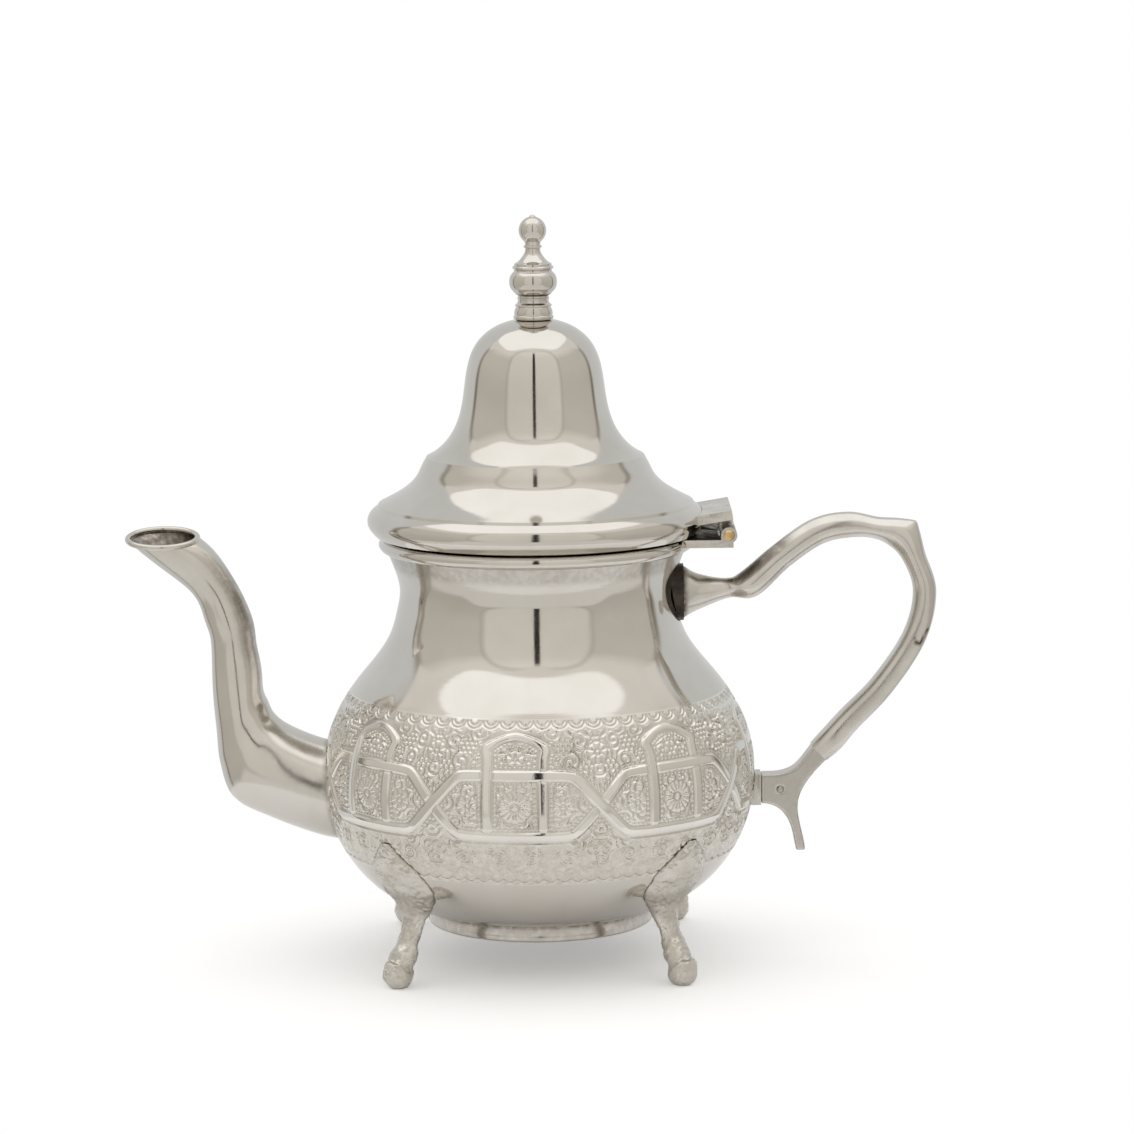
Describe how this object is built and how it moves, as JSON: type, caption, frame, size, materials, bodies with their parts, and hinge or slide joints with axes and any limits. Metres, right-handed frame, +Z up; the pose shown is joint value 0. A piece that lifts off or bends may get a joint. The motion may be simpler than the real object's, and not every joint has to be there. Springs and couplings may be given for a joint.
{
  "type": "footed teapot",
  "caption": "Footed metal pot for tea or coffee with an engraved belly, swan-neck spout, looped handle and a hinged bell-shaped lid with a turned knob.",
  "frame": {"origin": "on the table under the middle of the pot, on the axis of the spun body", "axes": "+Z up along the body's axis, +X from the spout towards the handle, +Y across the pot, away from the viewer"},
  "size_m": [0.2108, 0.1128, 0.194],
  "materials": {
    "engraved_plate": "silver-coloured plate on brass, engraved round the belly and polished above it",
    "polished_plate": "polished silver-coloured plate on brass",
    "cast_plate": "cast, roughly dressed and dully plated, with tarnish in the hollows",
    "bare_brass": "bare brass"
  },
  "bodies": {
    "pot": {"body_shell": "engraved_plate", "base_ring": "polished_plate", "mouth_rim": "polished_plate", "spout_tube": "polished_plate", "spout_strainer": "polished_plate", "handle_upper_boss": "cast_plate", "handle_arm": "polished_plate", "handle_lower_lug": "cast_plate", "handle_rivet": "cast_plate", "handle_lower_bracket": "cast_plate", "foot_rear_right": "cast_plate", "foot_rear_left": "cast_plate", "foot_front_left": "cast_plate", "foot_front_right": "cast_plate", "hinge_leaf_body": "polished_plate", "hinge_pin": "bare_brass"},
    "lid": {"lid_shell": "polished_plate", "lid_collar": "polished_plate", "hinge_leaf_lid": "polished_plate", "knob_pedestal": "polished_plate", "knob": "polished_plate", "knob_washer": "bare_brass", "knob_nut": "bare_brass", "knob_stud": "bare_brass"}
  },
  "joints": [
    {"name": "lid_hinge", "type": "hinge", "parent": "pot", "child": "lid", "pos_m": [0.0496, 0, 0.1122], "axis": [0, 1, 0], "range_deg": [0, 126]}
  ]
}
